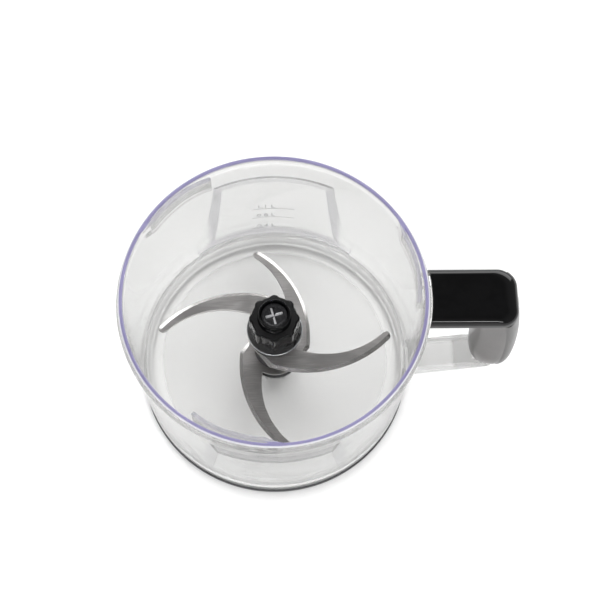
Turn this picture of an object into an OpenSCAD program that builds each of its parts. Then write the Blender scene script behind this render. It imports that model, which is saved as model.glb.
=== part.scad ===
// Food processor work bowl with a lift-out four-arm blade.
// The bowl axis is Z, the foot stands at z = 0, and the handle points along +X.

/* [Bowl] */
// Outer radius of the bowl at the rim
rim_r = 92; // [90:0.5:94]
// Outer radius of the bowl at the foot
base_r = 88.25; // [87:0.25:90]
// Height of the bowl
bowl_h = 128; // [126:0.5:134]
// Wall thickness of the bowl
wall = 2.8; // [2.4:0.1:3.2]
// Height of the floor's upper face above the foot
floor_z = 15; // [14.5:0.5:16]
// Depth of the pressed measuring panels
panel_depth = 1.5; // [0.8:0.1:2]

/* [Handle] */
// Outer end of the grip at its widest, from the axis
grip_out_x = 152.5; // [151:0.5:155]
// Inner side of the grip at its widest, from the axis
grip_in_x = 124.5; // [122:0.5:126]
// Width of the handle across the fingers
grip_w = 36; // [35:0.5:38]
// Top of the handle cap
cap_top = 127; // [126:0.5:128]
// Fillet along the edges of the cap
cap_fillet = 4.5; // [3:0.5:5]

/* [Drive] */
// Radius of the drive spindle
spindle_r = 4; // [3.8:0.1:4.2]
// Radial running clearance of the spindle in its bushings
run_gap = 0.04; // [0.02:0.01:0.08]
// Outer radius of the centre post at its top
post_r = 8.9; // [8.7:0.1:9.1]
// Height of the centre post
post_top = 52; // [50:1:53]

/* [Blade] */
// Radius of the upper blade tips
upper_tip_r = 73.5; // [68:0.5:76]
// Radius of the lower blade tips
lower_tip_r = 71.5; // [66:0.5:74]
// Turn of the lower blade against the upper one
blade_turn = 102; // [80:1:110]
// Thickness of the blade steel
blade_t = 1.6; // [1.2:0.1:2]
// Outer radius of the hub tube
hub_r = 13.2; // [12.8:0.1:14]
// Top of the grip knob
knob_top = 96; // [95:0.5:98]

/* [Hidden] */
$fn = 96;
e = 0.01;

// Bowl
slope = (rim_r - base_r) / bowl_h;
floor_t = 3;
skirt_t = 2.6;
foot_h = 3;
fillet_r = 9.5;
bead_z = 119;
bead_w = 1.4;
panel_top = 105;
panel_bevel_z = 94;
panel_low = 25;
panel_az = 36.2;
panel_dist = 89.5;
ramp_h = 14;

// Handle
rod_x = 135.5;
rod_r = 2.5;
rod_bore_r = 2.9;
spring_bore_r = 4.6;
spring_seat_z = 74;
rod_collar_z = 99;
spine_hx = 6.5;
spine_hy = 8.5;
strut_hy = 9.75;
arm_z0 = 112.5;
arm_z1 = 118;
cap_bottom = 118;
grip_bottom = 35;
shell_t = 2.4;
screw_x = 112;
cap_room_top = 124.4;
button_r = 4.2;
button_z0 = 118.6;
button_z1 = 124;

// Drive
bush_r = 7;
coupling_z0 = 1;
socket_r = 6;
socket_top = 8.5;
driver_z0 = 53.4;
driver_z1 = 73;
star_root = 6;
star_tip = 7.9;
star_w = 3;

// Blade
hub_bottom = 20;
hub_bore_r = 10;
core_r = 11.6;
lower_z = 28;
upper_z = 62.5;
collar_z = upper_z + blade_t;
lobe_z0 = 75;
lobe_z1 = 89;
blade_ring_r = 17.4;

function out_r(z) = base_r + slope * z;
function in_r(z) = out_r(z) - wall;
function polar(r, a) = [r * cos(a), r * sin(a)];
function arc(r, a0, a1, n, c = [0, 0]) =
    [for (i = [0 : n]) c + polar(r, a0 + (a1 - a0) * i / n)];
function blend(t) = t * t * (3 - 2 * t);

// Closed skin through equal rings of points, stacked from the bottom up
module loft(rings) {
    n = len(rings[0]);
    m = len(rings);
    polyhedron(
        points = [for (ring = rings) each ring],
        faces = concat(
            [[for (i = [0 : n - 1]) i]],
            [for (j = [0 : m - 2]) for (i = [0 : n - 1])
                [j * n + i, (j + 1) * n + i, (j + 1) * n + (i + 1) % n]],
            [for (j = [0 : m - 2]) for (i = [0 : n - 1])
                [j * n + i, (j + 1) * n + (i + 1) % n, j * n + (i + 1) % n]],
            [[for (i = [n - 1 : -1 : 0]) (m - 1) * n + i]]));
}

module tube(r1, r0, h) {
    difference() {
        cylinder(r = r1, h = h);
        translate([0, 0, -1]) cylinder(r = r0, h = h + 2);
    }
}

// ---- bowl ----

// Floor, coved corner, leaning wall, bead under the rim and skirt below the floor
module bowl_section() {
    corner = [in_r(floor_z + fillet_r) - fillet_r, floor_z + fillet_r];
    difference() {
        polygon([
            [0, floor_z - floor_t],
            [base_r - skirt_t - 3, floor_z - floor_t],
            [base_r - skirt_t, floor_z - floor_t - 3],
            [base_r - skirt_t, 0.6],
            [base_r, 0.6],
            [out_r(bead_z - 3), bead_z - 3],
            [rim_r + bead_w, bead_z],
            [rim_r + bead_w, bead_z + 2.4],
            [rim_r, bead_z + 4],
            [rim_r, bowl_h - 0.8],
            [rim_r - 0.8, bowl_h],
            [0, bowl_h]
        ]);
        polygon([
            [-1, floor_z],
            [corner[0], floor_z],
            [corner[0], floor_z + fillet_r],
            [in_r(floor_z + fillet_r), floor_z + fillet_r],
            [in_r(bowl_h - 0.8), bowl_h - 0.8],
            [in_r(bowl_h - 0.8) + 0.8, bowl_h + e],
            [-1, bowl_h + e]
        ]);
        translate(corner) circle(r = fillet_r);
    }
}

// Bevelled trapezoid of a pressed panel; grow moves its faces out from the wall
module panel_body(grow) {
    dist = panel_dist - panel_depth + grow;
    side = polar(dist, 90 - panel_az);
    intersection() {
        rotate_extrude() polygon([
            [60, panel_low - 3],
            [out_r(panel_low) + grow - panel_depth - 0.2, panel_low - 3],
            [out_r(panel_low + 4) + grow, panel_low + 4],
            [out_r(panel_bevel_z) + grow, panel_bevel_z],
            [out_r(panel_top) + grow - panel_depth - 0.2, panel_top],
            [60, panel_top]
        ]);
        linear_extrude(height = bowl_h)
            polygon([[0, 0], side, [0, dist / cos(panel_az)], [-side[0], side[1]]]);
    }
}

// Middle radius of a lid ramp, from its tip at 0 degrees to the rim band at 36
function ramp_r(a) =
    a > 28 ? rim_r - 1.45 - 3.35 * blend((36 - a) / 8) :
    a > 12 ? rim_r - 4.8 - 0.3 * (28 - a) / 16 :
    rim_r - 5.1 - 1.5 * pow((12 - a) / 12, 1.5);

// The rib, with a ledge that closes the bottom of the slot behind it
module lid_ramp() {
    w = 1.25;
    n = 30;
    inner = [for (i = [0 : n]) polar(ramp_r(36 * i / n) - w, 36 * i / n)];
    outer = [for (i = [n : -1 : 0]) polar(ramp_r(36 * i / n) + w, 36 * i / n)];
    translate([0, 0, bowl_h - ramp_h]) {
        linear_extrude(height = ramp_h) polygon(concat(inner, outer));
        translate([ramp_r(0), 0, 0]) cylinder(r = w, h = ramp_h);
        linear_extrude(height = 2) polygon(concat(inner, arc(rim_r - 1.5, 36, 0, n)));
    }
}

// Arm under the cap, strut under the grip and the spine that joins them
module handle_frame() {
    difference() {
        union() {
            translate([rim_r - 6, -9.5, arm_z0])
                cube([rod_x + spine_hx - rim_r + 6, 19, arm_z1 - arm_z0]);
            translate([0, strut_hy, 0]) rotate([90, 0, 0])
                linear_extrude(height = 2 * strut_hy)
                polygon([[base_r - 2, 4], [base_r + 3, 4], [rod_x + 4, 20],
                    [rod_x + spine_hx, 22.5], [rod_x + spine_hx, 29],
                    [rod_x - 12, 29], [base_r + 6, 20], [base_r - 1, 17]]);
            translate([rod_x - spine_hx, -spine_hy, 28])
                cube([2 * spine_hx, 2 * spine_hy, arm_z1 - 28]);
        }
        translate([0, 0, -e]) cylinder(r1 = in_r(0) + 1, r2 = in_r(bowl_h) + 1, h = bowl_h);
    }
}

module bowl_shell() {
    color([0.85, 0.87, 0.9, 0.35]) difference() {
        union() {
            rotate_extrude() bowl_section();
            for (s = [0, 180]) rotate([0, 0, s]) difference() {
                panel_body(panel_depth);
                cylinder(r1 = in_r(0) + 1, r2 = in_r(bowl_h) + 1, h = bowl_h);
            }
            for (t = [0, 120, 240]) rotate([0, 0, t - 2.6]) lid_ramp();
            translate([0, 0, floor_z - floor_t])
                cylinder(r1 = post_r + 0.6, r2 = post_r, h = post_top - floor_z + floor_t);
            translate([0, 0, floor_z - e]) cylinder(r1 = post_r + 3, r2 = post_r, h = 3.4);
            handle_frame();
            for (a = [90, 210, 330]) rotate([0, 0, a])
                translate([base_r - 6.6, -7, foot_h + 1]) cube([5, 14, 2.6]);
        }
        for (s = [0, 180]) rotate([0, 0, s]) panel_body(panel_depth - wall);
        translate([0, 0, -1]) cylinder(r = spindle_r + 1, h = 80);
        translate([0, 0, floor_z - floor_t - 1]) cylinder(r = bush_r, h = 11);
        translate([0, 0, post_top - 12]) cylinder(r = bush_r, h = 20);
        translate([rod_x, 0, 10]) cylinder(r = rod_bore_r, h = 120);
        translate([rod_x, 0, spring_seat_z]) cylinder(r = spring_bore_r, h = 60);
        translate([screw_x, 0, 90]) cylinder(r = 1.8, h = 30);
        translate([screw_x, 0, 100]) cylinder(r = 3.4, h = arm_z0 - 100 + 2);
    }
}

module foot_ring() {
    ri = base_r - skirt_t;
    color([0.25, 0.25, 0.27]) rotate_extrude() polygon([
        [ri - 1.2, 0.4], [ri - 0.8, 0], [base_r - 0.4, 0], [base_r + 0.5, 0.9],
        [base_r + 0.5, foot_h - 0.3], [base_r + 0.2, foot_h], [out_r(foot_h), foot_h],
        [base_r, 0.6], [ri, 0.6], [ri, foot_h], [ri - 1.2, foot_h]]);
}

module bushing_lower() {
    color([0.72, 0.53, 0.3]) translate([0, 0, floor_z - floor_t + 0.2])
        tube(bush_r, spindle_r + run_gap, 9.6);
}

module bushing_upper() {
    color([0.72, 0.53, 0.3]) translate([0, 0, post_top - 12])
        tube(bush_r, spindle_r + run_gap, 8.6);
}

module post_seal() {
    color([0.12, 0.12, 0.13]) translate([0, 0, post_top - 3.4])
        tube(bush_r, spindle_r + 0.35, 3.3);
}

// ---- handle ----

// Side profile of the grip: inner side, outer side and half width at height z
function grip_in(z) = grip_in_x + (z > 60 ? -3.5 : 9) * pow((z - 60) / 45, 2);
function grip_out(z) = grip_out_x - (z > 60 ? 4 : 13) * pow((z - 60) / 45, 2);
function grip_half(z) = grip_w / 2 - (z > 60 ? 0 : 9.5 * pow((60 - z) / 31, 2.4));
function grip_part(z) = grip_in(z) + 0.66 * (grip_out(z) - grip_in(z));

// Half-round finger side of the grip at height z, shrunk by d
function inner_ring(z, d) =
    let (xp = grip_part(z), a = xp - grip_in(z) - d, b = grip_half(z) - d)
    [for (i = [0 : 28])
        let (t = 90 + 180 * i / 28, c = cos(t), s = sin(t))
        [xp + a * sign(c) * pow(abs(c), 0.86), b * sign(s) * pow(abs(s), 0.86), z]];

// Flatter outer side of the grip
function outer_ring(z, d) =
    let (xp = grip_part(z) + e, a = grip_out(z) - grip_part(z) - d, b = grip_half(z) - d)
    [for (i = [0 : 28])
        let (t = -90 + 180 * i / 28, c = cos(t), s = sin(t))
        [xp + a * pow(abs(c), 0.9), b * sign(s) * pow(abs(s), 0.9), z]];

levels = [for (i = [0 : 12]) grip_bottom + (cap_bottom - 0.1 - grip_bottom) * i / 12];

// Room for the handle's arm in the tops of both shells
module arm_room() {
    translate([rim_r, -9.65, arm_z0 - 0.15])
        cube([rod_x + spine_hx + 0.15 - rim_r, 19.3, 20]);
}

module grip_inner() {
    color([0.56, 0.56, 0.57]) difference() {
        loft([for (z = levels) inner_ring(z, 0)]);
        intersection() {
            loft([for (z = concat([grip_bottom + shell_t], [for (k = [1 : 5])
                grip_bottom + shell_t + (90 - grip_bottom) * k / 5])) inner_ring(z, shell_t)]);
            translate([0, -50, 0]) cube([200, 100, 200]);
        }
        translate([rod_x - spine_hx - 0.15, -spine_hy - 0.15, 0])
            cube([40, 2 * spine_hy + 0.3, 130]);
        arm_room();
    }
}

module grip_outer() {
    color([0.42, 0.42, 0.43]) difference() {
        loft([for (z = levels) outer_ring(z, 0)]);
        translate([rod_x - spine_hx - 0.15, -spine_hy - 0.15, 0])
            cube([2 * spine_hx + 0.3, 2 * spine_hy + 0.3, 130]);
        arm_room();
    }
}

// Plan outline of the cap at height z, drawn in by d, with rounded outer corners
function cap_ring(z, d) =
    let (x0 = rim_r - 8, x1 = grip_out(60) - 8.9 + (cap_top - z) * 0.25 - d * 1.6,
        h = grip_w / 2 - d, r = 10.5 - d * 0.6)
    [for (p = concat(
        [[x0, -h]],
        arc(r, -90, 0, 10, [x1 - r, -h + r]),
        arc(r, 0, 90, 10, [x1 - r, h - r]),
        [[x0, h]])) [p[0], p[1], z]];

// Room inside the cap, one wall smaller than its outline
function cap_room(z) =
    let (x1 = grip_out(60) - 8.9 + (cap_top - z) * 0.25 - shell_t, h = grip_w / 2 - shell_t, r = 8.1)
    [for (p = concat(
        [[rim_r - 1, -h]],
        arc(r, -90, 0, 8, [x1 - r, -h + r]),
        arc(r, 0, 90, 8, [x1 - r, h - r]),
        [[rim_r - 1, h]])) [p[0], p[1], z]];

// Black cap with a notch in its far side, where the lid's tab slides in over the button
module handle_cap() {
    f = cap_fillet;
    rise = [for (i = [0 : 6]) 90 * i / 6];
    color([0.08, 0.08, 0.09]) difference() {
        loft(concat(
            [cap_ring(cap_bottom, 0.4), cap_ring(cap_bottom + 0.4, 0)],
            [for (a = rise) cap_ring(cap_top - f + f * sin(a), f - f * cos(a))]));
        translate([0, 0, cap_bottom - 1]) cylinder(r = rim_r + bead_w + 0.2, h = 40);
        loft([cap_room(cap_bottom - 1), cap_room(cap_room_top)]);
        translate([rod_x - 13, 8, cap_bottom - 1])
            cube([17, 20, cap_room_top - cap_bottom + 0.5]);
    }
    color([0.08, 0.08, 0.09]) difference() {
        translate([screw_x, 0, arm_z1 + 0.05])
            cylinder(r = 3.6, h = cap_room_top - arm_z1 + 0.2);
        translate([screw_x, 0, arm_z1 - 1]) cylinder(r = 1.47, h = 5.5);
    }
}

module cap_screw() {
    color([0.7, 0.7, 0.72]) difference() {
        union() {
            translate([screw_x, 0, arm_z0]) cylinder(r = 1.45, h = 9.5);
            translate([screw_x, 0, arm_z0 + 0.1]) cylinder(r = 3, h = 1.85);
        }
        for (a = [0, 90]) translate([screw_x, 0, arm_z0 + 0.5]) rotate([0, 0, a])
            cube([3, 0.7, 1.4], center = true);
    }
}

// ---- interlock ----

module interlock_rod() {
    color([0.9, 0.9, 0.88]) translate([rod_x, 0, 0]) {
        translate([0, 0, 18.5]) cylinder(r = rod_r, h = button_z1 - 1.52 - 18.5);
        translate([0, 0, 17.5]) cylinder(r1 = rod_r - 1, r2 = rod_r, h = 1 + e);
        translate([0, 0, rod_collar_z]) cylinder(r = spring_bore_r - 0.4, h = 2);
    }
}

module interlock_button() {
    color([0.1, 0.1, 0.11]) translate([rod_x, 0, 0]) difference() {
        union() {
            translate([0, 0, button_z0]) cylinder(r = button_r, h = button_z1 - 1 - button_z0);
            translate([0, 0, button_z1 - 1 - e])
                cylinder(r1 = button_r, r2 = button_r - 1.2, h = 1 + e);
        }
        translate([0, 0, 100]) cylinder(r = rod_r + 0.02, h = button_z1 - 1.5 - 100);
    }
}

// Compression spring round the rod, swept along its helix
module rod_spring() {
    turns = 8;
    per = 20;
    sides = 8;
    wire = 0.45;
    mean = 3.55;
    z0 = spring_seat_z + wire + 0.15;
    z1 = rod_collar_z - wire - 0.15;
    rings = [for (i = [0 : turns * per])
        let (a = 360 * i / per, t = i / (turns * per),
            s = t < 0.12 ? t * 0.3 : t > 0.88 ? 1 - (1 - t) * 0.3 : 0.036 + (t - 0.12) * 0.928 / 0.76,
            z = z0 + (z1 - z0) * s)
        [for (k = [0 : sides - 1])
            let (b = -360 * k / sides)
            [rod_x + (mean + wire * cos(b)) * cos(a), (mean + wire * cos(b)) * sin(a),
                z + wire * sin(b)]]];
    color([0.75, 0.76, 0.78]) loft(rings);
}

// ---- drive ----

module star(r_root, r_tip, w) {
    circle(r = r_root);
    for (a = [0, 60, 120]) rotate([0, 0, a]) square([2 * r_tip, w], center = true);
}

module drive_spindle() {
    color([0.78, 0.79, 0.8]) difference() {
        union() {
            translate([0, 0, socket_top + 0.1]) cylinder(r = spindle_r, h = driver_z1 + 2.4 - socket_top);
            translate([0, 0, driver_z1 + 2.5 - e]) cylinder(r1 = spindle_r, r2 = spindle_r - 0.6, h = 0.6);
        }
        translate([0, 0, driver_z1 + 0.2]) tube(spindle_r + 1, spindle_r - 0.6, 0.9);
        translate([0, 10, driver_z0 + 8]) rotate([90, 0, 0]) cylinder(r = 1.02, h = 20);
    }
}

module drive_coupling() {
    color([0.15, 0.15, 0.16]) difference() {
        union() {
            translate([0, 0, coupling_z0]) cylinder(r = 10.5, h = socket_top + 2.5 - coupling_z0);
            for (a = [0 : 60 : 300]) rotate([0, 0, a])
                translate([9, -1, coupling_z0 + 1]) cube([3, 2, socket_top - coupling_z0 - 1]);
        }
        translate([0, 0, -1]) cylinder(r = socket_r, h = socket_top + 1);
        for (a = [0, 90]) rotate([0, 0, a])
            translate([-7.6, -0.9, -1]) cube([15.2, 1.8, socket_top + 1]);
        cylinder(r = spindle_r + 0.01, h = 20);
    }
}

module washer_lower() {
    color([0.93, 0.92, 0.88]) translate([0, 0, socket_top + 2.6])
        tube(8.5, spindle_r + 0.03, 0.8);
}

module washer_upper() {
    color([0.93, 0.92, 0.88]) translate([0, 0, post_top + 0.35])
        tube(7.8, spindle_r + 0.03, 0.9);
}

module blade_driver() {
    color([0.16, 0.16, 0.17]) difference() {
        translate([0, 0, driver_z0]) union() {
            linear_extrude(height = driver_z1 - driver_z0) star(star_root, star_tip, star_w);
            cylinder(r = star_tip, h = 2);
        }
        cylinder(r = spindle_r + 0.01, h = 90);
        translate([0, 10, driver_z0 + 8]) rotate([90, 0, 0]) cylinder(r = 1.02, h = 20);
    }
}

module driver_pin() {
    color([0.7, 0.71, 0.73]) translate([0, 5.8, driver_z0 + 8])
        rotate([90, 0, 0]) cylinder(r = 1, h = 11.6);
}

module retaining_ring() {
    color([0.35, 0.36, 0.38]) translate([0, 0, driver_z1 + 0.25]) difference() {
        tube(5.8, spindle_r - 0.55, 0.8);
        translate([3.6, 0, 0]) cube([5, 3.4, 4], center = true);
    }
}

// ---- blade ----

module hub_core() {
    color([0.12, 0.12, 0.13]) difference() {
        union() {
            translate([0, 0, hub_bottom]) cylinder(r = core_r, h = 64);
            translate([0, 0, hub_bottom]) cylinder(r = hub_r, h = lower_z - hub_bottom);
            translate([0, 0, hub_bottom + 0.4]) cylinder(r = 17, h = 1.2);
            translate([0, 0, hub_bottom]) cylinder(r1 = 16.6, r2 = 17, h = 0.4 + e);
            translate([0, 0, hub_bottom + 1.6]) cylinder(r1 = 17, r2 = 14.6, h = 1.4);
        }
        translate([0, 0, 0]) cylinder(r = hub_bore_r, h = driver_z0 + 2.6);
        translate([0, 0, driver_z0 + 2]) linear_extrude(height = driver_z1 + 4 - driver_z0 - 2)
            star(star_root + 0.3, star_tip + 0.3, star_w + 0.6);
    }
}

// Scythe outline of one arm: convex cutting edge, concave back and round tip
module arm(tip_r) {
    k = tip_r / 73.7;
    edge = arc(74 * k, -42, -106, 26, k * polar(51, 69.4));
    back = arc(53.5 * k, -110, -45, 24, k * polar(50.6, 52.2));
    tip = (edge[0] + back[24]) / 2;
    linear_extrude(height = blade_t)
        polygon(concat(edge, [polar(blade_ring_r - 0.2, 222), polar(core_r + 2, 270)], back));
    translate(tip) cylinder(r = norm(edge[0] - back[24]) / 2, h = blade_t);
}

module blade_plate(tip_r) {
    color([0.62, 0.62, 0.63]) difference() {
        union() {
            cylinder(r = blade_ring_r, h = blade_t);
            for (s = [0, 180]) rotate([0, 0, s]) arm(tip_r);
        }
        translate([0, 0, -1]) cylinder(r = core_r + 0.02, h = 4);
    }
}

module lower_blade() {
    translate([0, 0, lower_z]) rotate([0, 0, blade_turn - 2.6]) blade_plate(lower_tip_r);
}

module upper_blade() {
    translate([0, 0, upper_z]) rotate([0, 0, -2.6]) blade_plate(upper_tip_r);
}

module blade_spacer() {
    color([0.12, 0.12, 0.13]) translate([0, 0, lower_z + blade_t + e])
        tube(hub_r, core_r + 0.02, upper_z - lower_z - blade_t - 2 * e);
}

// Flared collar that clamps the upper blade; a bright ring trims its lower edge
module clamp_collar() {
    color([0.1, 0.1, 0.11]) rotate_extrude() polygon([
        [core_r + 0.02, collar_z + e], [14.2, collar_z + e], [14.8, collar_z + 2.4],
        [16, collar_z + 3.4], [16, collar_z + 5], [17.2, collar_z + 5],
        [15.2, collar_z + 8], [14.2, lobe_z0 - e], [core_r + 0.02, lobe_z0 - e]]);
}

module trim_ring() {
    color([0.85, 0.85, 0.87]) rotate_extrude() polygon([
        [16.02, collar_z + 3.6], [17.2, collar_z + 3.6], [17.6, collar_z + 4],
        [17.6, collar_z + 4.6], [17.3, collar_z + 4.98], [16.02, collar_z + 4.98]]);
}

module grip_collar() {
    h = lobe_z1 - lobe_z0;
    color([0.1, 0.1, 0.11]) translate([0, 0, lobe_z0]) difference() {
        union() {
            cylinder(r = 14.5, h = h - 1);
            translate([0, 0, h - 1 - e]) cylinder(r1 = 14.5, r2 = 13.4, h = 1 + e);
            for (a = [0 : 45 : 315]) rotate([0, 0, a]) translate([12.2, 0, 0]) {
                cylinder(r = 3.5, h = h - 1.2);
                translate([0, 0, h - 1.2 - e]) cylinder(r1 = 3.5, r2 = 2.3, h = 1.2 + e);
            }
        }
        translate([0, 0, -1]) cylinder(r = core_r + 0.02, h = h - 2.9);
        cylinder(r = 6.02, h = 40);
    }
}

module knob_cup() {
    color([0.1, 0.1, 0.11]) difference() {
        union() {
            translate([0, 0, lobe_z1 - 4.6]) cylinder(r = 6, h = 4.6 + e);
            translate([0, 0, lobe_z1 + e]) cylinder(r1 = 10.6, r2 = 9.4, h = 2.4);
            translate([0, 0, lobe_z1 + 2.4]) cylinder(r1 = 9.4, r2 = 10, h = knob_top - lobe_z1 - 3);
            translate([0, 0, knob_top - 0.6 - e]) cylinder(r1 = 10, r2 = 9.6, h = 0.6 + e);
        }
        translate([0, 0, lobe_z1 + 3]) cylinder(r1 = 8.2, r2 = 8.8, h = 10);
    }
}

module knob_insert() {
    color([0.45, 0.45, 0.47]) translate([0, 0, lobe_z1 + 3.02]) difference() {
        cylinder(r = 8.1, h = 1.6);
        for (a = [15, 105]) rotate([0, 0, a]) translate([0, 0, 1.6])
            cube([12, 2.6, 2], center = true);
    }
}

bowl_shell();
foot_ring();
bushing_lower();
bushing_upper();
post_seal();
handle_cap();
grip_inner();
grip_outer();
cap_screw();
interlock_rod();
interlock_button();
rod_spring();
drive_spindle();
drive_coupling();
washer_lower();
washer_upper();
blade_driver();
driver_pin();
retaining_ring();
hub_core();
lower_blade();
blade_spacer();
upper_blade();
clamp_collar();
trim_ring();
grip_collar();
knob_cup();
knob_insert();
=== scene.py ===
import math

import bmesh
import bpy
from mathutils import Matrix, Vector
from mathutils.bvhtree import BVHTree


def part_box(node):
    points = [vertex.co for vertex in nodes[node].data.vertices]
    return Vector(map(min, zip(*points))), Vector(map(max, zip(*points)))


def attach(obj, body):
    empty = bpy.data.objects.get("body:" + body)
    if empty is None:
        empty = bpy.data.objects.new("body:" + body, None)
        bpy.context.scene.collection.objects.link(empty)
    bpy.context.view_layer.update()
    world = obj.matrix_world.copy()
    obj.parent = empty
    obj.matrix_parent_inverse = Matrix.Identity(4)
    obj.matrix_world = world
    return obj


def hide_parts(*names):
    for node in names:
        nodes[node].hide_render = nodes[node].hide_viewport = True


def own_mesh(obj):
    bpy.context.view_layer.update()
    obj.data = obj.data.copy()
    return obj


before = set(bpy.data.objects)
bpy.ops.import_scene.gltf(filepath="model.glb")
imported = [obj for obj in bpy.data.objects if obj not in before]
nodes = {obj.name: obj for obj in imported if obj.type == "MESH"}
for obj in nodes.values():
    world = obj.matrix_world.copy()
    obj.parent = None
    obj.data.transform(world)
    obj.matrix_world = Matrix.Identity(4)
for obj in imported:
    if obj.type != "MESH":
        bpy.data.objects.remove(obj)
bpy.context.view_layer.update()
MM = 0.001


# ---- Table and light ----
# The bowl stands on a white seamless table. A long softbox behind to the right
# and a strip in front draw the highlights; a soft one overhead lights the table.


def linear(hex_colour):
    """An sRGB hex value as linear red, green, blue and 1."""
    channels = [int(hex_colour[i : i + 2], 16) / 255 for i in (1, 3, 5)]
    curve = [c / 12.92 if c <= 0.04045 else ((c + 0.055) / 1.055) ** 2.4 for c in channels]
    return (*curve, 1.0)


def add(tree, kind, settings=None, links=None):
    """Adds one shader node, with its settings and its inputs' values or links."""
    node = tree.nodes.new(kind)
    for key, value in (settings or {}).items():
        setattr(node, key, value)
    for key, value in (links or {}).items():
        if isinstance(value, bpy.types.NodeSocket):
            tree.links.new(value, node.inputs[key])
        else:
            node.inputs[key].default_value = value
    return node


def finish_named(name, links):
    """A new material whose Principled shader has these inputs; returns it and its tree."""
    material = bpy.data.materials.new(name)
    material.use_nodes = True
    tree = material.node_tree
    tree.nodes.clear()
    shader = add(tree, "ShaderNodeBsdfPrincipled", None, links)
    add(tree, "ShaderNodeOutputMaterial", None, {"Surface": shader.outputs[0]})
    return material, tree, shader


# Painted white board: an even matt white.
board, _, _ = finish_named("white_table_board", {"Base Color": linear("#fafafa"), "Roughness": 0.9})
TABLE_HALF = 3.0
mesh = bpy.data.meshes.new("table")
mesh.from_pydata(
    [(x * TABLE_HALF, y * TABLE_HALF, 0) for x, y in ((-1, -1), (1, -1), (1, 1), (-1, 1))],
    [],
    [(0, 1, 2, 3)],
)
table = bpy.data.objects.new("table", mesh)
bpy.context.scene.collection.objects.link(table)
mesh.materials.append(board)


def softbox(name, place, width, height, radiance, in_reflections=True):
    """A studio lamp that faces the bowl's middle, with this brightness of its own."""
    data = bpy.data.lights.new(name, "AREA")
    data.shape = "RECTANGLE"
    data.size, data.size_y = width, height
    data.energy = radiance * math.pi * width * height
    lamp = bpy.data.objects.new(name, data)
    bpy.context.scene.collection.objects.link(lamp)
    lamp.location = place
    lamp.rotation_mode = "QUATERNION"
    lamp.rotation_quaternion = (Vector((0, 0, 0.06)) - Vector(place)).to_track_quat("-Z", "Y")
    lamp.visible_glossy = in_reflections


softbox("key_softbox", (0.1, 1.45, 0.64), 3.6, 0.8, 3.9)
softbox("front_strip", (0.1, -1.4, 0.56), 1.5, 0.1, 24.0)
softbox("overhead_softbox", (0.5, 0.4, 1.4), 0.8, 0.8, 1.5, in_reflections=False)
SMOOTH = {"interpolation_type": "SMOOTHSTEP"}
# A dim room with a white backdrop, which keeps the black faces black.
world = bpy.data.worlds.new("studio_room")
bpy.context.scene.world = world
world.use_nodes = True
room = world.node_tree
sky_spot = add(room, "ShaderNodeTexCoord").outputs["Generated"]
sky_rise = add(room, "ShaderNodeSeparateXYZ", None, {0: sky_spot}).outputs["Z"]
SIDE_GLOW, CEILING_GLOW, DULL_GLOW, BACKDROP_GLOW = 0.42, 0.24, 0.78, 0.95
ceiling = add(
    room,
    "ShaderNodeMapRange",
    SMOOTH,
    {0: sky_rise, 1: 0.62, 2: 0.84, 3: SIDE_GLOW, 4: CEILING_GLOW},
).outputs[0]
# Seen straight or through the clear wall, the room is the white backdrop.
ray = add(room, "ShaderNodeLightPath").outputs
bounces = add(
    room,
    "ShaderNodeMath",
    {"operation": "ADD"},
    {0: ray["Diffuse Depth"], 1: ray["Glossy Depth"]},
).outputs[0]
undimmed = add(
    room, "ShaderNodeMath", {"operation": "LESS_THAN"}, {0: bounces, 1: 0.5}
).outputs[0]
through = add(
    room, "ShaderNodeMath", {"operation": "MULTIPLY"}, {0: ray["Is Transmission Ray"], 1: undimmed}
).outputs[0]
seen = add(
    room, "ShaderNodeMath", {"operation": "MAXIMUM"}, {0: ray["Is Camera Ray"], 1: through}
).outputs[0]
# The table and other dull faces get even light from all round.
onto_dull = add(
    room, "ShaderNodeMix", None, {0: ray["Is Diffuse Ray"], 2: ceiling, 3: DULL_GLOW}
).outputs[0]
backdrop = add(
    room, "ShaderNodeMix", None, {0: seen, 2: onto_dull, 3: BACKDROP_GLOW}
).outputs[0]
room.links.new(backdrop, room.nodes["Background"].inputs["Strength"])
room.nodes["Background"].inputs["Color"].default_value = linear("#ffffff")
bpy.context.scene.view_settings.view_transform = "Standard"


# ---- Camera ----
# It looks steeply down at the bowl from in front, with the handle to the right.

CAMERA_PLACE = Vector((2.8, -276.7, 840.2)) * MM
CAMERA_PITCH_DOWN = math.radians(68.97)
CAMERA_ROLL = math.radians(2.06)
CAMERA_TURN = math.radians(-2.6)
camera_data = bpy.data.cameras.new("studio_camera")
camera_data.lens = 78
camera_data.sensor_width = 36
camera_data.clip_start = 0.05
camera = bpy.data.objects.new("studio_camera", camera_data)
bpy.context.scene.collection.objects.link(camera)
camera.matrix_world = (
    Matrix.Translation(CAMERA_PLACE)
    @ Matrix.Rotation(CAMERA_TURN, 4, "Z")
    @ Matrix.Rotation(math.pi / 2 - CAMERA_PITCH_DOWN, 4, "X")
    @ Matrix.Rotation(CAMERA_ROLL, 4, "Z")
)
bpy.context.scene.camera = camera


# ---- Bowl ----
# One injection moulding in clear SAN: wall, coved floor, lid ramps, centre post
# and the frame of the handle. Its cut-off rim shows the resin's violet tone.

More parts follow.
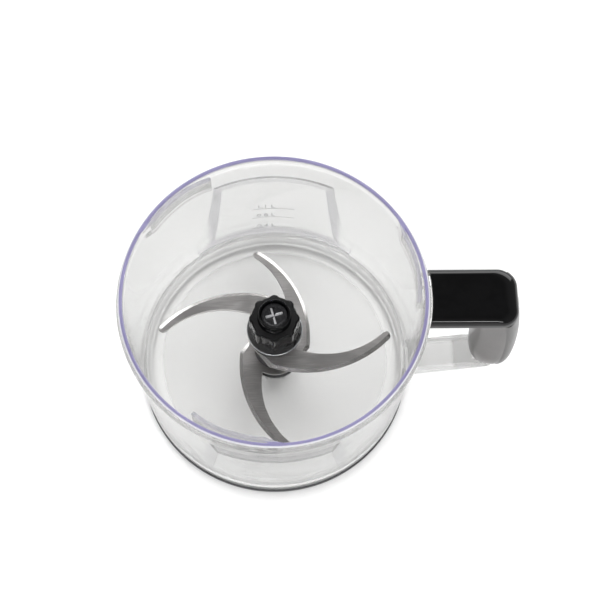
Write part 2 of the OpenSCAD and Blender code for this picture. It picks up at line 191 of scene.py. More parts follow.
# Clear SAN, moulded against polished steel. Its own IOR is 1.57; 1.3 is drawn, as it
# leaves the edges less dark. It has a grey cast, slow flow ripples and a violet rim.
RIM_TOP_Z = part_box("bowl_shell")[1][2]
RIM_BAND_INNER = 88.9 * MM
RIM_BAND_WIDTH = 2 * MM
FLOW_RIPPLE_MM = 14
TIMES, LARGER = {"operation": "MULTIPLY"}, {"operation": "MAXIMUM"}
BETWEEN_COLOURS = {"data_type": "RGBA"}
clear, tree, shader = finish_named("clear_moulded_san", {"IOR": 1.3})
spot = add(tree, "ShaderNodeTexCoord").outputs["Object"]
height = add(tree, "ShaderNodeSeparateXYZ", None, {0: spot}).outputs["Z"]
flat = add(tree, "ShaderNodeVectorMath", TIMES, {0: spot, 1: (1, 1, 0)}).outputs[0]
from_axis = add(tree, "ShaderNodeVectorMath", {"operation": "LENGTH"}, {0: flat}).outputs["Value"]
outward = add(tree, "ShaderNodeVectorMath", {"operation": "NORMALIZE"}, {0: flat}).outputs[0]
facing = add(
    tree,
    "ShaderNodeVectorMath",
    {"operation": "DOT_PRODUCT"},
    {0: outward, 1: add(tree, "ShaderNodeNewGeometry").outputs["Normal"]},
).outputs["Value"]
facing = add(tree, "ShaderNodeMath", {"operation": "ABSOLUTE"}, {0: facing}).outputs[0]
ripple = add(
    tree, "ShaderNodeTexNoise", None, {"Vector": spot, "Scale": 1 / (FLOW_RIPPLE_MM * MM)}
).outputs["Fac"]
bend = add(
    tree, "ShaderNodeBump", None, {"Height": ripple, "Distance": 0.05 * MM, "Strength": 0.4}
).outputs[0]
# How far each spot lies within a region: where it starts and ends, and the value there.
region = {}
for name, measure, start, end, at_start, at_end in (
    # The panels' bevels turn away from the axis. They are tinted greyer, a painted shade for the
    # dark lines their creases show.
    ("turned_away", facing, 0.9975, 0.988, 0, 1),
    ("on_wall", height, 19 * MM, 23 * MM, 0, 1),
    ("under_bead", height, 108 * MM, 112 * MM, 1, 0),
    ("upright", facing, 0.85, 0.95, 0, 1),
    ("at_top", height, RIM_TOP_Z - 1.3 * MM, RIM_TOP_Z - 0.5 * MM, 0, 1),
    ("on_band", from_axis, RIM_BAND_INNER - 0.8 * MM, RIM_BAND_INNER, 0.4, 1),
    (
        "past_band",
        from_axis,
        RIM_BAND_INNER + RIM_BAND_WIDTH,
        RIM_BAND_INNER + RIM_BAND_WIDTH + 0.5 * MM,
        0,
        1,
    ),
    # The cove is drawn milky and paler than the floor: painted light, in place of the pale band the
    # thick clear fillet shows.
    ("over_floor", height, 12.6 * MM, 14 * MM, 0, 1),
    ("under_wall", height, 19 * MM, 23 * MM, 1, 0),
    ("off_centre", from_axis, 72 * MM, 76 * MM, 0, 1),
    ("on_handle", from_axis, 94 * MM, 97 * MM, 0, 1),
    ("thin_low", height, 18 * MM, 26 * MM, 0.6, 0.78),
    ("polish", ripple, 0.4, 0.7, 0.005, 0.03),
):
    region[name] = add(
        tree, "ShaderNodeMapRange", SMOOTH, {0: measure, 1: start, 2: end, 3: at_start, 4: at_end}
    ).outputs[0]
for name, parts in (
    ("bevel", ("turned_away", "on_wall", "under_bead", "upright")),
    ("cove", ("over_floor", "under_wall", "off_centre")),
    ("rim", ("at_top", "on_band")),
):
    region[name] = region[parts[0]]
    for part in parts[1:]:
        region[name] = add(
            tree, "ShaderNodeMath", TIMES, {0: region[name], 1: region[part]}
        ).outputs[0]
tint = {}
for name, by, low, high in (
    # The floor's tint is the resin's grey cast made darker: a painted shadow of the bowl on the
    # table under it.
    ("floor", "cove", "#c2c2c1", "#dcdcdb"),
    # The bevels' greyer tint is painted shade.
    ("wall", "bevel", "#d5d5d4", "#b6b6b7"),
    ("bowl", "on_wall", "floor", "wall"),
    ("moulding", "on_handle", "bowl", "#bcbcbb"),
    ("rim", "past_band", "#8883ab", "#dcdce2"),
    ("whole", "rim", "moulding", "rim"),
):
    low, high = (tint[end] if end in tint else linear(end) for end in (low, high))
    tint[name] = add(
        tree, "ShaderNodeMix", BETWEEN_COLOURS, {0: region[by], 6: low, 7: high}
    ).outputs[2]
# The bevels are drawn more solid, so that their painted shade shows.
BEVEL_BODY, COVE_MILK = 0.5, 0.55
bevel_body = add(
    tree, "ShaderNodeMapRange", SMOOTH, {0: region["bevel"], 1: 0, 2: 1, 3: 0, 4: BEVEL_BODY}
).outputs[0]
solid = add(tree, "ShaderNodeMath", LARGER, {0: region["rim"], 1: bevel_body}).outputs[0]
solid = add(tree, "ShaderNodeMath", LARGER, {0: solid, 1: region["cove"]}).outputs[0]
alpha = add(tree, "ShaderNodeMix", None, {0: solid, 2: region["thin_low"], 3: 1.0}).outputs[0]
# The cove's milkiness is painted light.
cove_milk = add(
    tree, "ShaderNodeMapRange", SMOOTH, {0: region["cove"], 1: 0, 2: 1, 3: 0, 4: COVE_MILK}
).outputs[0]
milky = add(tree, "ShaderNodeMath", LARGER, {0: region["rim"], 1: cove_milk}).outputs[0]
see_through = add(
    tree, "ShaderNodeMapRange", SMOOTH, {0: milky, 1: 0, 2: 1, 3: 0.94, 4: 0.25}
).outputs[0]
for socket, value in (
    ("Base Color", tint["whole"]),
    ("Roughness", region["polish"]),
    ("Normal", bend),
    ("Transmission Weight", see_through),
    ("Alpha", alpha),
):
    tree.links.new(value, shader.inputs[socket])


def dress(node, material):
    """Gives a CAD node one material in place of the plain one it came with."""
    nodes[node].data.materials.clear()
    nodes[node].data.materials.append(material)


dress("bowl_shell", clear)
# The clear bowl's shadow is left out, so that the table under it stays pale.
nodes["bowl_shell"].visible_shadow = False


def fit(piece, body, slot, *replaced):
    """Says which body a piece rides on and which CAD nodes it stands for; the slot is not used."""
    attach(piece, body)
    if replaced:
        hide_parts(*replaced)


# ---- Measuring scale ----
# Three short lines with their volume, pad-printed on the flat of each panel in
# grey ink, then cured. They read about a tenth more than this bowl holds there.

# Every finish also drifts slowly over this distance, as moulded and ground ones do.
DRIFT_MM = 22


def patterned(name, colours, roughness, grain_mm, relief_mm, stretch=(1, 1, 1), fixed=None):
    """A finish whose colour, roughness and relief follow a grain of that size."""
    material, tree, shader = finish_named(name, fixed)
    spot = add(tree, "ShaderNodeTexCoord").outputs["Object"]
    scale = [1 / (grain_mm * MM * s) for s in stretch]
    grain_spot = add(tree, "ShaderNodeMapping", None, {"Vector": spot, "Scale": scale})
    grain = add(
        tree, "ShaderNodeTexNoise", None, {"Vector": grain_spot.outputs[0], "Scale": 1, "Detail": 3}
    ).outputs["Fac"]
    drift = add(
        tree, "ShaderNodeTexNoise", None, {"Vector": spot, "Scale": 1 / (DRIFT_MM * MM)}
    ).outputs["Fac"]
    both = add(tree, "ShaderNodeMath", TIMES, {0: grain, 1: drift}).outputs[0]
    bump = add(
        tree, "ShaderNodeBump", None, {"Height": grain, "Distance": relief_mm * MM, "Strength": 1}
    ).outputs[0]
    # Each noise averages 0.5, so the two multiplied centre on 0.25, between these ends.
    low, high = 0.15, 0.36
    share, rough = (
        add(
            tree, "ShaderNodeMapRange", SMOOTH, {0: both, 1: low, 2: high, 3: ends[0], 4: ends[1]}
        ).outputs[0]
        for ends in ((0, 1), roughness)
    )
    tone = add(
        tree,
        "ShaderNodeMix",
        BETWEEN_COLOURS,
        {0: share, 6: linear(colours[0]), 7: linear(colours[1])},
    ).outputs[2]
    for socket, value in (("Base Color", tone), ("Roughness", rough), ("Normal", bump)):
        tree.links.new(value, shader.inputs[socket])
    return material


# Grey pad-print ink: flat, slightly patchy where it is thin.
scale_ink = patterned("pad_print_ink_grey", ("#8f9092", "#a3a4a6"), (0.5, 0.65), 0.5, 0.01)
SCALE_ROWS = ((34, "0.4 L"), (49.5, "0.8 L"), (62, "1.1 L"))
WORD_SIZE, WORD_X, WORD_DROP = 6.2, -15.5, 2.2
LINE_X0, LINE_X1, LINE_LOW, LINE_HIGH = -18.5, 9.5, -3.6, -3.05
PRINT_TURN = math.radians(-2.6)
PRINT_PROUD = 0.06 * MM
bpy.context.view_layer.update()
bowl_tree = BVHTree.FromObject(nodes["bowl_shell"], bpy.context.evaluated_depsgraph_get())


def printed(name, side):
    """The scale's flat shapes, laid on the inner face of one panel."""
    skin = bmesh.new()
    for z, words in SCALE_ROWS:
        curve = bpy.data.curves.new("scale_words", "FONT")
        curve.body = words
        curve.size = WORD_SIZE
        holder = bpy.data.objects.new("scale_words", curve)
        flat = bpy.data.meshes.new_from_object(holder)
        flat.transform(Matrix.Translation((WORD_X, z - WORD_DROP, 0)))
        skin.from_mesh(flat)
        bpy.data.objects.remove(holder)
        corners = (
            (LINE_X0, z + LINE_LOW),
            (LINE_X1, z + LINE_LOW),
            (LINE_X1, z + LINE_HIGH),
            (LINE_X0, z + LINE_HIGH),
        )
        skin.faces.new([skin.verts.new((x, y, 0)) for x, y in corners])
    bmesh.ops.subdivide_edges(
        skin, edges=[e for e in skin.edges if e.calc_length() > 5], cuts=4, use_grid_fill=True
    )
    turn = Matrix.Rotation(PRINT_TURN, 3, "Z")
    for vert in skin.verts:
        aim = turn @ Vector((vert.co.x * MM, side * 0.2, 0))
        start = turn @ Vector((vert.co.x * MM, 0.02 * side, 0))
        start.z = vert.co.y * MM
        aim.z = start.z
        hit, _, _, _ = bowl_tree.ray_cast(start, (aim - start).normalized())
        vert.co = hit - (aim - start).normalized() * PRINT_PROUD
    mesh = bpy.data.meshes.new(name)
    skin.to_mesh(mesh)
    skin.free()
    mesh.materials.append(scale_ink)
    piece = bpy.data.objects.new(name, mesh)
    bpy.context.scene.collection.objects.link(piece)
    fit(piece, "bowl", "dark_tpe")


printed("scale_far_panel", 1)
printed("scale_near_panel", -1)


# ---- Foot ring ----
# A dark ring round the skirt's lower edge: painted shade for the dark line there.

# Dull and dark, with a fine matt grain; its darkness is painted shade.
dress("foot_ring", patterned("dark_ring_painted_shade", ("#39393b", "#4b4b4e"), (0.5, 0.68), 0.5, 0.03))


# ---- Handle cap ----
# An ABS cover screwed to the handle's arm from below. It hides the rod's button
# and has a slot in its far side for the lid's tab.

# ABS moulded against mirror-polished steel: deep black, a hard shine with a very
# slight ripple, and a few patches that hands have dulled.
gloss_abs = patterned(
    "gloss_black_abs",
    ("#020203", "#060607"),
    (0.05, 0.1),
    6,
    0.012,
    fixed={"Specular IOR Level": 0.3},
)


def shaped(name, points, faces, material, sharp_from=0.6):
    """A piece from points in mm, smooth except where faces meet sharply."""
    mesh = bpy.data.meshes.new(name)
    mesh.from_pydata([Vector(p) * MM for p in points], [], faces)
    return finished(name, mesh, material, sharp_from)


def finished(name, mesh, material, sharp_from=0.6):
    """Puts a mesh into the scene as a piece with outward faces and smooth shading."""
    work = bmesh.new()
    work.from_mesh(mesh)
    bmesh.ops.recalc_face_normals(work, faces=work.faces)
    work.to_mesh(mesh)
    work.free()
    mesh.materials.clear()
    mesh.materials.append(material)
    mesh.shade_smooth()
    mesh.set_sharp_from_angle(angle=sharp_from)
    piece = bpy.data.objects.new(name, mesh)
    bpy.context.scene.collection.objects.link(piece)
    return piece


def lofted(name, rings, material, sharp_from=0.6):
    """A closed skin through equal rings of points, flat across both ends."""
    n = len(rings[0])
    faces = [
        (j * n + i, j * n + (i + 1) % n, (j + 1) * n + (i + 1) % n, (j + 1) * n + i)
        for j in range(len(rings) - 1)
        for i in range(n)
    ]
    faces += [tuple(range(n)), tuple(range((len(rings) - 1) * n, len(rings) * n))]
    return shaped(name, [p for ring in rings for p in ring], faces, material, sharp_from)


def cut(piece, operation, tool, sharp_from=0.6):
    """Joins or subtracts a second shape for good, and throws that shape away."""
    change = piece.modifiers.new("cut", "BOOLEAN")
    change.operation = operation
    change.solver = "EXACT"
    change.object = tool
    bpy.context.view_layer.update()
    result = bpy.data.meshes.new_from_object(
        piece.evaluated_get(bpy.context.evaluated_depsgraph_get())
    )
    piece.modifiers.clear()
    piece.data = result
    result.shade_smooth()
    result.set_sharp_from_angle(angle=sharp_from)
    bpy.data.objects.remove(tool)


def circle(radius, z, centre=(0, 0), steps=96):
    """A ring of points about an upright axis."""
    return [
        (
            centre[0] + radius * math.cos(2 * math.pi * i / steps),
            centre[1] + radius * math.sin(2 * math.pi * i / steps),
            z,
        )
        for i in range(steps)
    ]


def block(low, high, material):
    """A plain box, used only to cut others."""
    (x0, y0, z0), (x1, y1, z1) = low, high
    return lofted(
        "cutter",
        [[(x0, y0, z), (x1, y0, z), (x1, y1, z), (x0, y1, z)] for z in (z0, z1)],
        material,
    )


CAP_LOW, CAP_HIGH = ([v / MM for v in corner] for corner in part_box("handle_cap"))
CAP_TOP, CAP_BOTTOM, CAP_HALF = CAP_HIGH[2], CAP_LOW[2], CAP_HIGH[1]
CAP_FILLET = 6
CAP_WALL = 2.4
CAP_ROOF = 2.6
CAP_TAPER = 0.25
CAP_END = CAP_HIGH[0] - CAP_TAPER * (CAP_TOP - CAP_BOTTOM)
ROD_X, SCREW_X = 135.5, 112


def cap_outline(z, drawn_in, corner, inner_x, end_roll=1.8):
    """The cap's plan at a height, drawn in from its sides and more from its end."""
    end = CAP_END + CAP_TAPER * (CAP_TOP - z) - drawn_in * end_roll
    half = CAP_HALF - drawn_in
    points = [(inner_x, -half, z)]
    for turn, y in ((-90, -half + corner), (0, half - corner)):
        points += [
            (
                end - corner + corner * math.cos(math.radians(turn + 90 * i / 16)),
                y + corner * math.sin(math.radians(turn + 90 * i / 16)),
                z,
            )
            for i in range(17)
        ]
    return points + [(inner_x, half, z)]


cap_rings = [cap_outline(CAP_BOTTOM, 0.4, 10.2, 84), cap_outline(CAP_BOTTOM + 0.4, 0, 10.5, 84)]
for i in range(13):
    angle = math.radians(90 * i / 12)
    inset = CAP_FILLET * (1 - math.cos(angle))
    cap_rings.append(
        cap_outline(CAP_TOP - CAP_FILLET * (1 - math.sin(angle)), inset, 10.5 - 0.6 * inset, 84)
    )
cap = lofted("handle_cap_moulding", cap_rings, gloss_abs)
BOWL_CLEARED_R = 93.6
beside_bowl = [circle(BOWL_CLEARED_R, z, steps=256) for z in (100, 130)]
cut(cap, "DIFFERENCE", lofted("cutter", beside_bowl, gloss_abs))
ROOM_CORNER, ROOM_START_X = 8.1, 91
room = [
    cap_outline(z, CAP_WALL, ROOM_CORNER, ROOM_START_X, 1)
    for z in (CAP_BOTTOM - 1, CAP_TOP - CAP_ROOF)
]
cut(cap, "DIFFERENCE", lofted("cutter", room, gloss_abs))
TAB_SLOT_TOP = 123.9
tab_slot = block((ROD_X - 13, 8, CAP_BOTTOM - 2), (ROD_X + 4, 28, TAB_SLOT_TOP), gloss_abs)
cut(cap, "DIFFERENCE", tab_slot)
BOSS_R, SCREW_HOLE_R, SCREW_HOLE_TOP = 3.6, 1.47, 122.5
boss = [
    circle(BOSS_R, z, (SCREW_X, 0), 32) for z in (CAP_BOTTOM + 0.05, CAP_TOP - CAP_ROOF + 0.2)
]
cut(cap, "UNION", lofted("cutter", boss, gloss_abs))
bore = [circle(SCREW_HOLE_R, z, (SCREW_X, 0), 24) for z in (CAP_BOTTOM - 1, SCREW_HOLE_TOP)]
cut(cap, "DIFFERENCE", lofted("cutter", bore, gloss_abs))
fit(cap, "bowl", "black_gloss", "handle_cap")


# ---- Handle grip ----
# Two ABS shells clipped round the spine, sprayed in pewter paint: a light one on
# the finger side and a darker one outside, with a fine V at the joint.

# Metallic spray paint: aluminium flakes under a satin lacquer. Flakes of 0.05 mm
# are too fine to show, so they are drawn at 0.7 mm and very faint.
PEWTER = {"Metallic": 0.85, "Coat Weight": 0.25, "Coat Roughness": 0.15}
pewter_light = patterned(
    "pewter_spray_light", ("#4e4c4b", "#625f5e"), (0.34, 0.42), 0.7, 0.012, fixed=PEWTER
)
pewter_dark = patterned(
    "pewter_spray_dark", ("#3e3d3c", "#4b4a49"), (0.34, 0.42), 0.7, 0.012, fixed=PEWTER
)
GRIP_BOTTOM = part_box("grip_inner")[0][2] / MM
GRIP_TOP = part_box("grip_inner")[1][2] / MM
# At its waist the grip is thickest. Both sides curve away from it, more below than above.
GRIP_WAIST, CURVE_SPAN, NARROW_SPAN = 60, 45, 31
GRIP_IN_X, GRIP_OUT_X = 124.5, 152.5
IN_ABOVE, IN_BELOW, OUT_ABOVE, OUT_BELOW = -3.5, 9, 4, 13
JOINT_SHARE = 0.66
NARROWED = 9.5


def grip_side(z):
    """Inner x, outer x, x of the joint and half width of the grip at a height."""
    rise = ((z - GRIP_WAIST) / CURVE_SPAN) ** 2
    inner = GRIP_IN_X + (IN_ABOVE if z > GRIP_WAIST else IN_BELOW) * rise
    outer = GRIP_OUT_X - (OUT_ABOVE if z > GRIP_WAIST else OUT_BELOW) * rise
    drop = max(0.0, (GRIP_WAIST - z) / NARROW_SPAN)
    return inner, outer, inner + JOINT_SHARE * (outer - inner), CAP_HALF - NARROWED * drop**2.4


def grip_ring(z, drawn_in, outside):
    """Half of the grip's section at a height, with its corners at the joint eased."""
    inner, outer, joint, half = grip_side(z)
    reach = (outer - joint if outside else joint - inner) - drawn_in
    power = 0.9 if outside else 0.86
    half -= drawn_in
    points = []
    for i in range(41):
        angle = math.radians((-90 if outside else 90) + 180 * i / 40)
        c, s = math.cos(angle), math.sin(angle)
        ease = 0.35 if i in (0, 40) else 0
        y = math.copysign(max(abs(half * abs(s) ** power) - ease, 0), s)
        x = joint + math.copysign(reach * abs(c) ** power, c if abs(c) > 1e-9 else 1)
        points.append((x, y, z))
    return points


for name, node, outside, paint, slot in (
    ("grip_finger_shell", "grip_inner", False, pewter_light, "pewter_light"),
    ("grip_outer_shell", "grip_outer", True, pewter_dark, "pewter_dark"),
):
    rings = [grip_ring(GRIP_BOTTOM, 0.5, outside)]
    for i in range(49):
        z = GRIP_BOTTOM + 0.5 + (GRIP_TOP - GRIP_BOTTOM - 0.8) * i / 48
        rings.append(grip_ring(z, 0, outside))
    rings.append(grip_ring(GRIP_TOP, 0.3, outside))
    shell = lofted(name, rings, paint)
    # Room for the bowl's own spine, and for its arm at the top.
    for low, high in (
        ((128.85, -8.65, 20), (142.15, 8.65, 130)),
        ((92, -9.65, 112.35), (142.15, 9.65, 130)),
    ):
        cut(shell, "DIFFERENCE", block(low, high, paint))
    fit(shell, "bowl", slot, node)


# ---- Cap screw, interlock rod, button and spring ----
# A zinc-plated thread-forming screw holds the cap. The lid's tab pushes an
# acetal rod down through the handle; a coil of music wire returns it.

# Zinc plate over steel: a pale blue-grey metal, slightly blotched.
METAL = {"Metallic": 1.0}
dress(
    "cap_screw",
    patterned("zinc_plated_steel", ("#a9adb2", "#c9ccd0"), (0.28, 0.42), 1.5, 0.01, fixed=METAL),
)
# Acetal, turned from bar: white, waxy, with faint rings from the tool.
acetal = patterned(
    "acetal_turned_white",
    ("#dcdcd6", "#eaeae4"),
    (0.32, 0.45),
    2,
    0.01,
    (4, 4, 0.3),
    {"Subsurface Weight": 0.15, "Subsurface Radius": (0.002, 0.002, 0.002)},
)
dress("interlock_rod", acetal)
dress("interlock_button", gloss_abs)
# Music wire, drawn and tempered: grey metal, brighter along the draw.
music_wire = patterned(
    "music_wire_drawn", ("#85878b", "#a5a7ab"), (0.2, 0.34), 1.2, 0.01, fixed=METAL
)
SPRING_LOW, SPRING_HIGH = (corner[2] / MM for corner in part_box("rod_spring"))
WIRE_R = 0.45
COIL_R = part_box("rod_spring")[1][0] / MM - ROD_X - WIRE_R
COIL_TURNS = 8
coil_rings = []
for i in range(COIL_TURNS * 24 + 1):
    share = i / (COIL_TURNS * 24)
    # The end coils lie close, and the ones between stand evenly apart.
    if share < 0.12:
        rise = share * 0.3
    elif share > 0.88:
        rise = 1 - (1 - share) * 0.3
    else:
        rise = 0.036 + (share - 0.12) * 0.928 / 0.76
    z = SPRING_LOW + WIRE_R + (SPRING_HIGH - SPRING_LOW - 2 * WIRE_R) * rise
    turn = 2 * math.pi * COIL_TURNS * share
    ring = []
    for k in range(10):
        round_wire = -2 * math.pi * k / 10
        reach = COIL_R + WIRE_R * math.cos(round_wire)
        ring.append(
            (
                ROD_X + reach * math.cos(turn),
                reach * math.sin(turn),
                z + WIRE_R * math.sin(round_wire),
            )
        )
    coil_rings.append(ring)
coil = lofted("return_spring_coil", coil_rings, music_wire)
fit(coil, "bowl", "spring_steel", "rod_spring")
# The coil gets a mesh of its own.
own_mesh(coil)


# ---- Bushings, seal, spindle, washers and retaining ring ----
# Two sintered bushings pressed into the centre post carry a ground spindle. A lip
# seal keeps food out, acetal washers take the thrust, and a clip holds the top.

# Sintered bronze, oil-filled: warm brown metal with open pores.
bronze = patterned(
    "sintered_bronze", ("#8a6537", "#b98d55"), (0.38, 0.55), 0.8, 0.03, fixed=METAL
)
dress("bushing_lower", bronze)
dress("bushing_upper", bronze)
# Moulded nitrile rubber: dull black with a slight bloom.
dress("post_seal", patterned("nitrile_rubber", ("#151515", "#232324"), (0.5, 0.7), 1.2, 0.02))
# Stainless shaft, centreless ground: fine rings round it, and a soft bright line.
dress(
    "drive_spindle",
    patterned(
        "stainless_ground_shaft",
        ("#9c9da0", "#bcbdc0"),
        (0.18, 0.3),
        1.5,
        0.006,
        (5, 5, 0.25),
        METAL,
    ),
)
dress("washer_lower", acetal)
dress("washer_upper", acetal)
# Spring steel, phosphated: dark grey, almost matt.
clip_steel = patterned(
    "phosphated_clip_steel",
    ("#3b3c3e", "#55565a"),
    (0.4, 0.55),
    0.7,
    0.015,
    fixed={"Metallic": 0.9},
)
dress("retaining_ring", clip_steel)
dress("driver_pin", clip_steel)
# Glass-filled nylon, moulded: satin black with faint swirls of fibre.
nylon = patterned(
    "glass_filled_nylon_black", ("#121214", "#1f1f22"), (0.3, 0.45), 1.4, 0.02, (1, 1, 3)
)
dress("drive_coupling", nylon)
dress("blade_driver", nylon)


# ---- Blade hub ----
# A nylon tube with a foot flange carries both blades. A tube between them keeps
# them apart, and it drops over the driver on the spindle.


def rounded(corners, radius, steps=4):
    """The corners of a closed outline, each worn to a small curve."""
    points = []
    for i, corner in enumerate(corners):
        here = Vector(corner)
        before = Vector(corners[i - 1]) - here
        after = Vector(corners[(i + 1) % len(corners)]) - here
        back = min(radius, before.length * 0.45)
        on = min(radius, after.length * 0.45)
        start, end = here + before.normalized() * back, here + after.normalized() * on
        if abs(here.x) < 1e-6:
            points.append(here)
            continue
        for k in range(steps + 1):
            t = k / steps
            points.append(start * (1 - t) ** 2 + here * 2 * t * (1 - t) + end * t**2)
    return points


def turned(name, corners, radius, material, sharp_from=0.7, steps=128):
    """A round piece whose half section is this outline with worn corners."""
    outline = rounded(corners, radius)
    points, rows = [], []
    for r, z in outline:
        if r < 1e-6:
            rows.append([len(points)] * steps)
            points.append((0, 0, z))
        else:
            rows.append(list(range(len(points), len(points) + steps)))
            points += circle(r, z, steps=steps)
    faces = []
    for a, b in zip(rows, rows[1:] + rows[:1]):
        for i in range(steps):
            j = (i + 1) % steps
            face = [a[i], a[j], b[j], b[i]]
            face = [v for k, v in enumerate(face) if v not in face[:k]]
            if len(face) > 2:
                faces.append(face)
    return shaped(name, points, faces, material, sharp_from)


dress("hub_core", nylon)
dress("blade_spacer", nylon)

# ---- Blades ----
# Two plates laser-cut from 1.6 mm hardened stainless steel, each with two scythe
# arms. The outer edge of every arm is ground to a bevel, then polished.

# Stainless sheet with a ground finish: even grey, with short lines in the sheet.
blade_sheet = patterned(
    "stainless_sheet_satin",
    ("#a5a3a2", "#b7b5b4"),
    (0.4, 0.5),
    0.9,
    0.006,
    (12, 1, 1),
    METAL,
)
# The ground bevel: brighter and smoother, with the wheel's lines across it.
blade_bevel = patterned(
    "stainless_bevel_ground",
    ("#b3b1b0", "#c6c4c3"),
    (0.15, 0.22),
    0.5,
    0.004,
    (1, 1, 1),
    METAL,
)
BLADE_T = 1.6
BLADE_RING = 17.4
CORE_R = 11.62
BEVEL = 2.6
# Each side of an arm is an arc: how far its centre is from the axis and at what turn,
# its radius, where it starts and how far it runs, for a blade with its tips at 73.7 mm.
TIP_R = 73.7
EDGE_ARC = (51, 69.4, 74, -106, 64)
BACK_ARC = (50.6, 52.2, 53.5, -110, 65)


def bent(centre_r, centre_turn, radius, turn):
    """A point on an arc whose centre stands off the axis."""
    return Vector(
        (
            centre_r * math.cos(math.radians(centre_turn)) + radius * math.cos(math.radians(turn)),
            centre_r * math.sin(math.radians(centre_turn)) + radius * math.sin(math.radians(turn)),
        )
    )


def blade(name, node, tip_r, z, turn):
    """A ring with two scythe arms, bevelled along their outer edges."""
    k = tip_r / TIP_R
    pairs = [(bent(0, 0, BLADE_RING - 0.2, 222), bent(0, 0, 13.6, 270))]
    for i in range(49):
        t = i / 48
        pairs.append(
            tuple(
                bent(off * k, aim, radius * k, start + run * t)
                for off, aim, radius, start, run in (EDGE_ARC, BACK_ARC)
            )
        )
    edge, back = pairs[-1]
    tip, side = (edge + back) / 2, (edge - back) / 2
    ahead = Vector((-side.y, side.x))
    if ahead.dot(tip) < 0:
        ahead = -ahead
    for i in range(1, 11):
        a = math.radians(8.4 * i)
        pairs.append(
            (
                tip + side * math.cos(a) + ahead * math.sin(a),
                tip - side * math.cos(a) + ahead * math.sin(a),
            )
        )
    rings = []
    for edge, back in pairs:
        width = (edge - back).length
        along = (edge - back) / width
        bevel = min(BEVEL, width * 0.45)
        soft = min(0.2, width * 0.2)
        section = (
            (soft, 0),
            (0, soft),
            (0, BLADE_T - soft),
            (soft, BLADE_T),
            (width - bevel, BLADE_T),
            (width - 0.05, 0.3),
            (width, 0.15),
            (width - 0.1, 0),
        )
        rings.append([(*(back + along * s), z + h) for s, h in section])
    plate = lofted(
        name,
        [circle(BLADE_RING, z, steps=128), circle(BLADE_RING, z + BLADE_T, steps=128)],
        blade_sheet,
        0.3,
    )
    plate.data.materials.append(blade_bevel)
    for half_turn in (0, math.pi):
        spun = [
            [tuple(Matrix.Rotation(half_turn, 3, "Z") @ Vector(p)) for p in ring] for ring in rings
        ]
        arm = lofted("cutter", spun, blade_sheet, 0.3)
        cut(plate, "UNION", arm, 0.3)
    hole = lofted("cutter", [circle(CORE_R, z - 1), circle(CORE_R, z + 3)], blade_sheet)
    cut(plate, "DIFFERENCE", hole, 0.3)
    plate.data.transform(Matrix.Rotation(math.radians(turn), 4, "Z"))
    for face in plate.data.polygons:
        tilt = face.normal.z
        if 0.75 < tilt < 0.985:
            face.material_index = 1
    fit(plate, "blade_set", "blade_steel", node)


LOWER_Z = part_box("lower_blade")[0][2] / MM
UPPER_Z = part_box("upper_blade")[0][2] / MM
blade("lower_blade_ground", "lower_blade", 71.5, LOWER_Z, 102 - 2.6)
blade("upper_blade_ground", "upper_blade", 73.5, UPPER_Z, -2.6)


# ---- Clamp collar and trim ring ----
# A flared ABS collar is pushed down the hub to clamp the upper blade. A pressed
# bright ring covers its lower edge.

COLLAR_Z = UPPER_Z + BLADE_T
LOBE_Z0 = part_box("grip_collar")[0][2] / MM
LOBE_Z1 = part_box("grip_collar")[1][2] / MM
collar = turned(
    "clamp_collar_flared",
    [
        (CORE_R, COLLAR_Z + 0.01),
        (14.2, COLLAR_Z + 0.01),
        (14.8, COLLAR_Z + 2.4),
        (15.98, COLLAR_Z + 3.4),
        (15.98, COLLAR_Z + 5.02),
        (17.2, COLLAR_Z + 5.02),
        (15.2, COLLAR_Z + 8),
        (14.2, LOBE_Z0 - 0.02),
        (CORE_R, LOBE_Z0 - 0.02),
    ],
    0.5,
    gloss_abs,
)
fit(collar, "blade_set", "black_gloss", "clamp_collar")
# Chromed brass pressing: a mirror with the faintest waviness.
chrome = patterned(
    "chromed_brass_pressing", ("#c9cbce", "#dfe0e2"), (0.07, 0.16), 3, 0.008, fixed=METAL
)
trim = turned(
    "trim_ring_pressed",
    [
        (16.02, COLLAR_Z + 3.6),
        (17.2, COLLAR_Z + 3.6),
        (17.6, COLLAR_Z + 4),
        (17.6, COLLAR_Z + 4.6),
        (17.3, COLLAR_Z + 4.98),
        (16.02, COLLAR_Z + 4.98),
    ],
    0.25,
    chrome,
)
fit(trim, "blade_set", "bright_ring", "trim_ring")


# ---- Grip collar ----
# The eight-lobed grip that fingers turn and lift, moulded in ABS with a matt top
# face and glossy flanks, and pressed on the hub.

# ABS against a blasted face of the mould: a soft black with a fine grain.
matt_abs = patterned("matt_black_abs", ("#0b0b0c", "#151517"), (0.32, 0.45), 0.6, 0.02)


LOBE_BODY_R, LOBE_PITCH_R, LOBE_R, LOBED_MOST_R = 14.4, 12.2, 3.5, 15.7
# How sharply a lobe meets the body: the higher, the sharper.
LOBE_BLEND, LOBE_MIDDLE_R = 5, 14


def lobe_ring(z, drawn_in):
    """The lobed outline: a round body with eight round lobes, softly joined."""
    points = []
    for i in range(256):
        turn = 2 * math.pi * i / 256
        off = (turn + math.pi / 8) % (math.pi / 4) - math.pi / 8
        lobe = LOBE_PITCH_R * math.cos(off)
        room = LOBE_R**2 - (LOBE_PITCH_R * math.sin(off)) ** 2
        lobe = lobe + math.sqrt(room) if room > 0 else 0
        weight = sum(
            math.exp(LOBE_BLEND * (each - LOBE_MIDDLE_R)) for each in (LOBE_BODY_R, max(lobe, 8))
        )
        r = math.log(weight) / LOBE_BLEND + LOBE_MIDDLE_R
        r = min(r, LOBED_MOST_R) - drawn_in
        points.append((r * math.cos(turn), r * math.sin(turn), z))
    return points


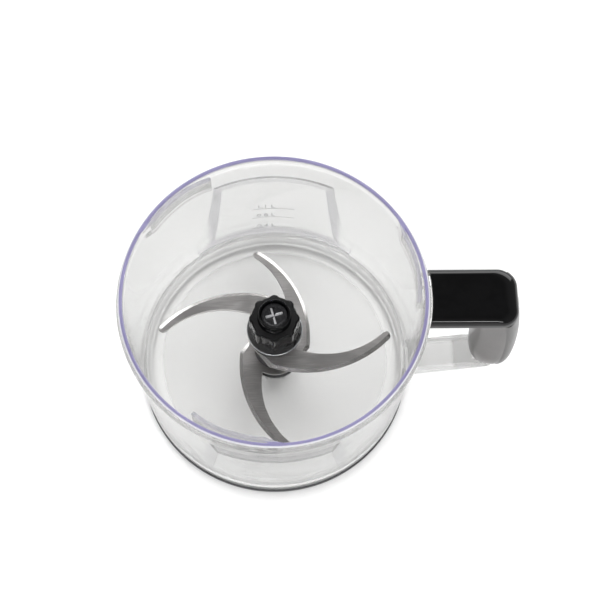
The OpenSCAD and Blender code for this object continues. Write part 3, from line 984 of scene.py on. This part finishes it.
lobe_rings = [lobe_ring(LOBE_Z0, 0.4), lobe_ring(LOBE_Z0 + 0.4, 0)]
for i in range(7):
    angle = math.radians(15 * i)
    lobe_rings.append(lobe_ring(LOBE_Z1 - 1.2 * (1 - math.sin(angle)), 1.2 * (1 - math.cos(angle))))
lobes = lofted("lobed_grip_moulding", lobe_rings, gloss_abs)
lobes.data.materials.append(matt_abs)
CUP_STEM_HOLE_R = 6.02
for hole_r, low, high in (
    (CORE_R, LOBE_Z0 - 1, LOBE_Z1 - 3.9),
    (CUP_STEM_HOLE_R, LOBE_Z0, LOBE_Z1 + 5),
):
    hole = lofted("cutter", [circle(hole_r, low), circle(hole_r, high)], gloss_abs)
    cut(lobes, "DIFFERENCE", hole)
for face in lobes.data.polygons:
    if face.normal.z > 0.99 and face.center.z > (LOBE_Z1 - 0.1) * MM:
        face.material_index = 1
fit(lobes, "blade_set", "black_gloss", "grip_collar")


# ---- Knob cup and insert ----
# A dished ABS button snapped into the top of the grip, with a grey insert whose
# cross-shaped groove takes the assembly tool.

KNOB_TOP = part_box("knob_cup")[1][2] / MM
cup = turned(
    "knob_cup_dished",
    [
        (0, LOBE_Z1 - 4.6),
        (6, LOBE_Z1 - 4.6),
        (6, LOBE_Z1 + 0.02),
        (10.6, LOBE_Z1 + 0.02),
        (9.4, LOBE_Z1 + 2.4),
        (10, KNOB_TOP - 0.6),
        (9.7, KNOB_TOP),
        (8.8, KNOB_TOP),
        (8.2, LOBE_Z1 + 3),
        (0, LOBE_Z1 + 3),
    ],
    0.45,
    gloss_abs,
)
fit(cup, "blade_set", "black_gloss", "knob_cup")
# Grey ABS, satin moulded. The light along its groove is painted on, below.
grey_abs = patterned("satin_grey_abs", ("#1b1b1d", "#29292b"), (0.1, 0.2), 1.5, 0.01)
insert = turned(
    "knob_insert_cross",
    [
        (0, LOBE_Z1 + 3.02),
        (8.1, LOBE_Z1 + 3.02),
        (8.1, LOBE_Z1 + 4.6),
        (6.6, LOBE_Z1 + 4.6),
        (6.2, LOBE_Z1 + 4.2),
        (0, LOBE_Z1 + 4.2),
    ],
    0.3,
    grey_abs,
    0.5,
)
CROSS_TURN = 15
CROSS_HALF = 5.4
INSERT_FACE_Z = LOBE_Z1 + 4.2
GROOVE_SECTION = ((-1.5, 0.2), (0, -1.0), (1.5, 0.2), (0, 1))
for turn in (CROSS_TURN, CROSS_TURN + 90):
    spin = Matrix.Rotation(math.radians(turn), 3, "Z")
    ends = [
        [tuple(spin @ Vector((x, y, INSERT_FACE_Z + h))) for y, h in GROOVE_SECTION]
        for x in (-CROSS_HALF, CROSS_HALF)
    ]
    cut(insert, "DIFFERENCE", lofted("cutter", ends, grey_abs), 0.5)
# Light grey on the side of each groove that faces front and right: a painted highlight where the
# groove would catch the light.
groove_painted_highlight = patterned("painted_groove_highlight", ("#a9a9ab", "#d2d2d4"), (0.2, 0.3), 1, 0.005)
insert.data.materials.append(groove_painted_highlight)
for face in insert.data.polygons:
    at = face.center / MM
    from_middle = math.hypot(at.x, at.y)
    highlight_side = face.normal.x * 0.6 - face.normal.y > 0
    sloping = 0.3 < face.normal.z < 0.95
    in_groove = from_middle < CROSS_HALF + 0.5 and at.z < INSERT_FACE_Z + 0.05
    if highlight_side and sloping and in_groove:
        face.material_index = 1
fit(insert, "blade_set", "grey_plastic", "knob_insert")
